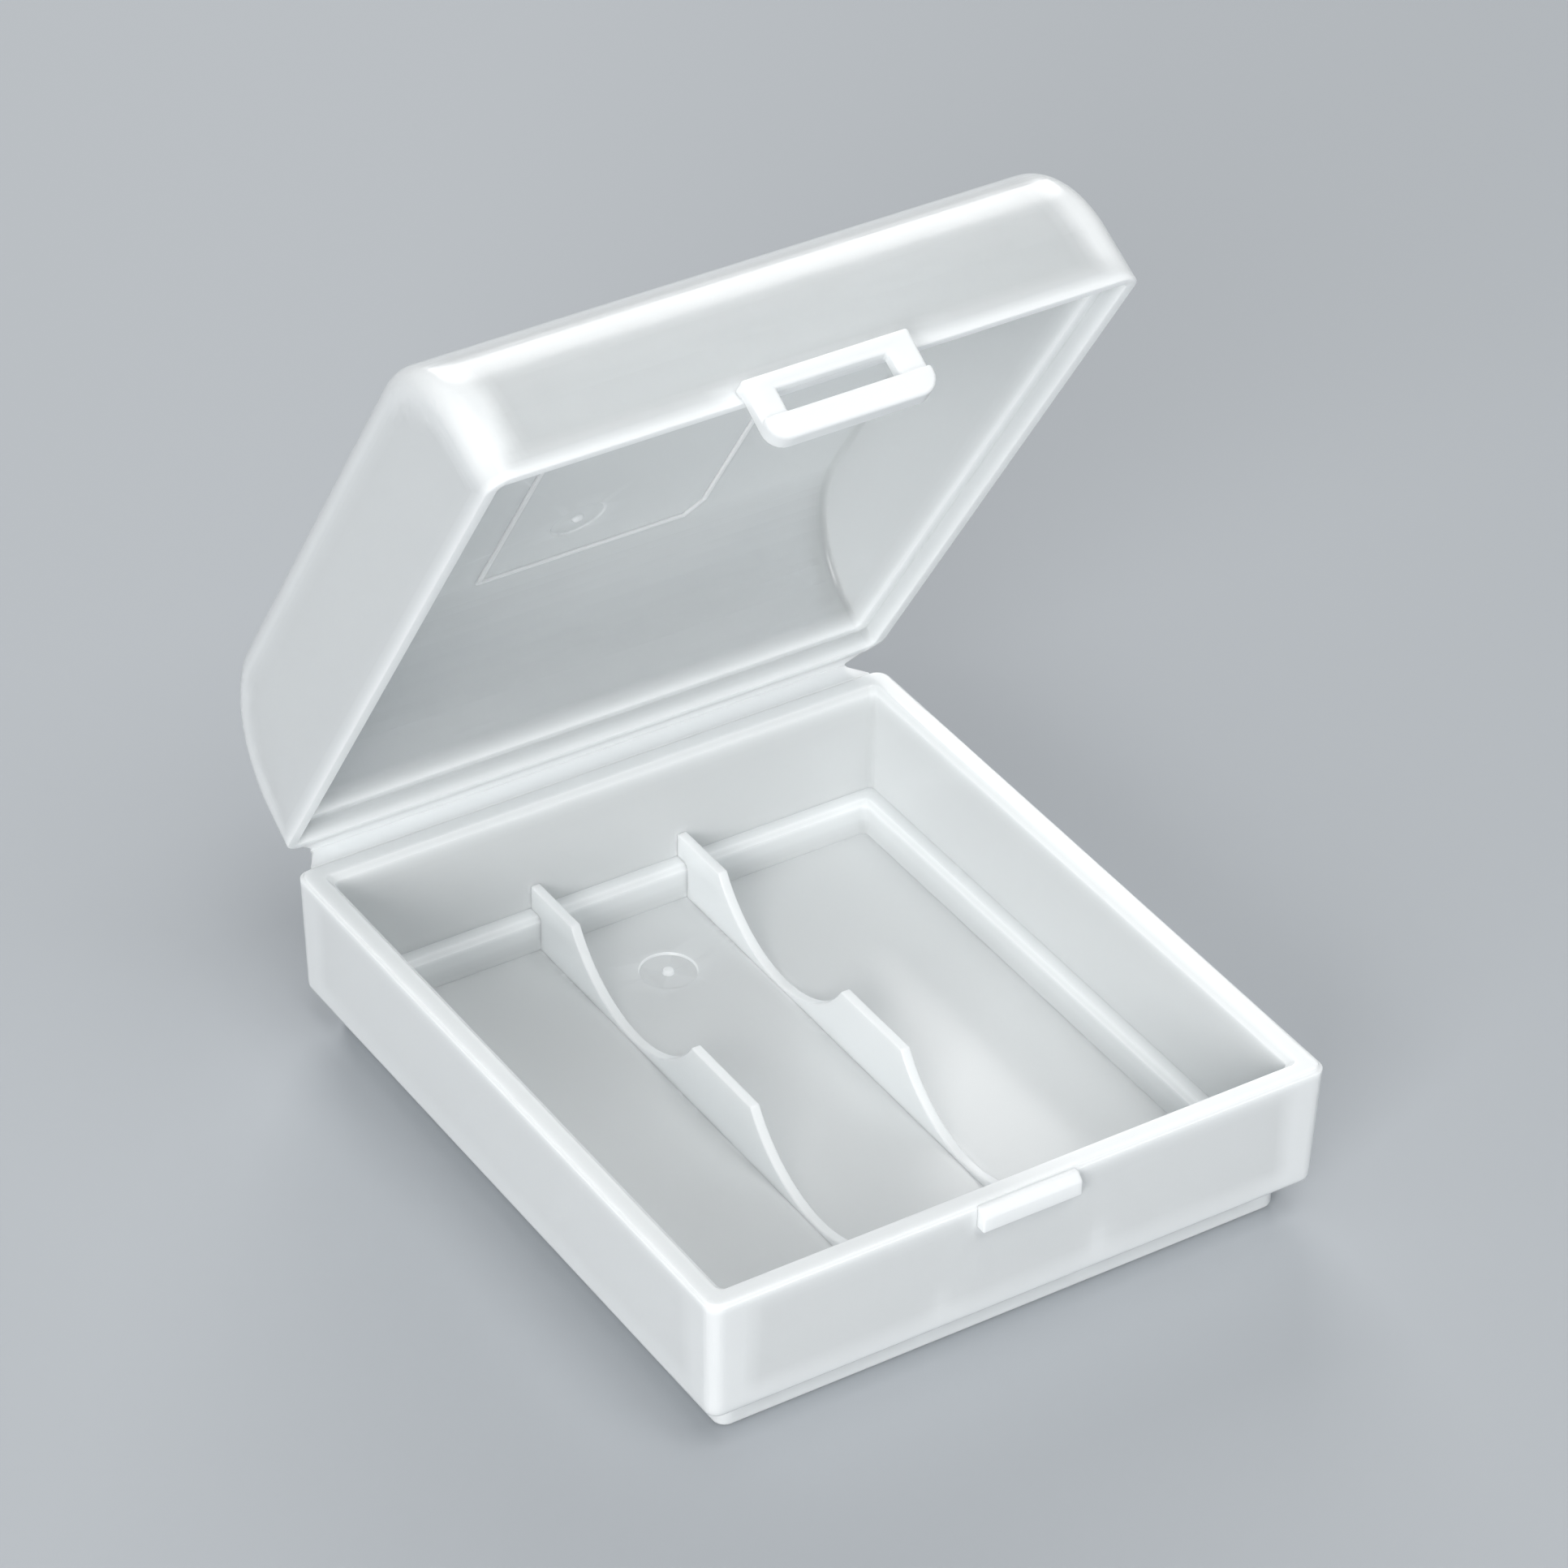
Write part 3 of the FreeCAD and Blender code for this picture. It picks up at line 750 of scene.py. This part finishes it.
latch = finish_piece(bm, "latch_tab_moulded", narrow_plastic, "latch_tab", "latch_root")
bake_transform(latch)

# %% [markdown]
# ## Where the plastic is clear and where it glows
#
# On the real case, light runs along inside a wall and comes out at its ends, so rims, corners and the
# ends of the ribs glow white, while the flat walls stay clearer. Here the clearness follows the
# plastic's thickness, and the glow is painted on as a faint emission near the edges. Two lengths find
# those places.
# A cone of rays goes in from each point and adds up the plastic that it passes through: at the end of a
# wall it finds the whole wall. Rays along the skin, just under it, find how near the closest edge is.

# %% Measure the clearness
deepest = 8 * mm
longest_rays = 4
skin = 0.01 * mm
under_skin = 0.35 * mm
under_share = 0.45
clear_depth = 2.6 * mm
milky_depth = 7.5 * mm
clear_from_edge = 2.2 * mm
milky_at_edge = 0.3 * mm
# Where the painted edge glow begins and where it is full.
no_glow_from = 0.9 * mm
full_glow_at = 0.3 * mm


def fan(tilt, count):
    """Directions round the Z axis, all tilted from it by the same angle in degrees."""
    tilted = Matrix.Rotation(math.radians(tilt), 3, "X") @ Vector((0, 0, 1))
    return [Matrix.Rotation(2 * math.pi * step / count, 3, "Z") @ tilted for step in range(count)]


cone = fan(0, 1) + fan(20, 5) + fan(38, 8)
along_skin = fan(90, 8)


def plastic_along(tree, point, direction, longest):
    """Length of plastic along a straight line that starts inside a piece."""
    layers = 1
    travelled = 0
    while layers > 0:
        hit, normal, _, distance = tree.ray_cast(point + direction * skin, direction,
                                                 longest - travelled)
        if hit is None:
            return longest
        layers += -1 if normal.dot(direction) > 0 else 1
        travelled += distance + skin
        if travelled > longest:
            return longest
        point = hit
    return travelled


def smooth_share(value, zero, one):
    """0 at one value, 1 at the other, with a smooth change between them."""
    share = min(max((value - zero) / (one - zero), 0), 1)
    return share * share * (3 - 2 * share)


def clearness(tree, vert):
    inward = (-vert.normal).to_track_quat("Z", "Y")
    lengths = [plastic_along(tree, vert.co, inward @ ray, deepest) for ray in cone]
    start = vert.co - vert.normal * min(under_skin, under_share * lengths[0])
    edge = min(plastic_along(tree, start, inward @ ray, clear_from_edge) for ray in along_skin)
    depth = sum(sorted(lengths)[-longest_rays:]) / longest_rays
    clear_by_depth = smooth_share(depth, milky_depth, clear_depth)
    clear_by_edge = smooth_share(edge, milky_at_edge, clear_from_edge)
    # The second value is the mask of the painted edge glow.
    return clear_by_depth * clear_by_edge, smooth_share(edge, no_glow_from, full_glow_at)


def evened(mesh, values, passes=2):
    """Average each point's value with its neighbours', so that no border looks ragged."""
    for _ in range(passes):
        total = list(values)
        count = [1] * len(values)
        for edge in mesh.edges:
            one, other = edge.vertices
            total[one] += values[other]
            total[other] += values[one]
            count[one] += 1
            count[other] += 1
        values = [t / c for t, c in zip(total, count)]
    return values


# %% Write both attributes
whole = bmesh.new()
for piece in plastic_pieces:
    whole.from_mesh(piece.data)
tree = BVHTree.FromBMesh(whole)
whole.free()
for piece in plastic_pieces:
    clear, edge = zip(*[clearness(tree, vert) for vert in piece.data.vertices])
    clear = evened(piece.data, clear)
    piece.data.attributes.new(clear_name, "FLOAT", "POINT").data.foreach_set("value", clear)
    # The edge attribute holds the mask of the painted edge glow.
    piece.data.attributes.new(painted_glow_attribute, "FLOAT", "POINT").data.foreach_set("value", edge)
    print(piece.name, "clearness from", round(min(clear), 2), "to", round(max(clear), 2))

# %% [markdown]
# ## Floor, light and camera
#
# The case stands on a plain pale floor under large soft lights. Its edges read because they catch the
# key light, so that one comes from the front left, low enough to reach the front wall.

# %% Floor
floor_size = 6
floor_below = Matrix.Translation((0, 0, -0.1 * mm))
floor_mesh = bpy.data.meshes.new("floor")
bm = bmesh.new()
bmesh.ops.create_grid(bm, x_segments=1, y_segments=1, size=floor_size, matrix=floor_below)
bm.to_mesh(floor_mesh)
bm.free()
floor = bpy.data.objects.new("floor", floor_mesh)
bpy.context.scene.collection.objects.link(floor)
floor_material = bpy.data.materials.new("matt_pale_floor")
floor_material.use_nodes = True
floor_shader = floor_material.node_tree.nodes["Principled BSDF"]
floor_shader.inputs["Base Color"].default_value = linear("#B6BABE")
floor_shader.inputs["Roughness"].default_value = 0.6
floor_mesh.materials.append(floor_material)

# %% Lights
world = bpy.data.worlds.new("studio")
world.use_nodes = True
bpy.context.scene.world = world
sky = world.node_tree.nodes["Background"]
sky.inputs["Color"].default_value = linear("#EEF3F7")
sky.inputs["Strength"].default_value = 0.35


def softbox(name, place, aim, size, power):
    """Large square lamp at a place, turned towards a point."""
    lamp = bpy.data.lights.new(name, "AREA")
    lamp.size = size
    lamp.energy = power
    holder = bpy.data.objects.new(name, lamp)
    holder.location = place
    holder.rotation_euler = (Vector(aim) - Vector(place)).to_track_quat("-Z", "Y").to_euler()
    bpy.context.scene.collection.objects.link(holder)


softbox("key", (-1.05, -0.85, 0.55), (0, 0, 0.04), 0.7, 12)
softbox("overhead", (0, -0.5, 1.2), (0, 0, 0.04), 0.9, 7.2)
softbox("back", (0.5, 1.1, 0.7), (0, 0, 0.05), 0.7, 5.5)

# %% Camera
camera_place = Vector((-301.71, -461.06, 439.40)) * mm
camera_azimuth = math.radians(32.955)
camera_elevation = math.radians(35.691)
camera_roll = math.radians(1.130)
camera_data = bpy.data.cameras.new("camera")
camera_data.lens = 149.157
camera_data.sensor_width = 36
camera = bpy.data.objects.new("camera", camera_data)
camera.matrix_world = (Matrix.Translation(camera_place) @ Matrix.Rotation(-camera_azimuth, 4, "Z")
                       @ Matrix.Rotation(math.pi / 2 - camera_elevation, 4, "X")
                       @ Matrix.Rotation(camera_roll, 4, "Z"))
bpy.context.scene.collection.objects.link(camera)
bpy.context.scene.camera = camera
bpy.context.scene.view_settings.view_transform = "Standard"
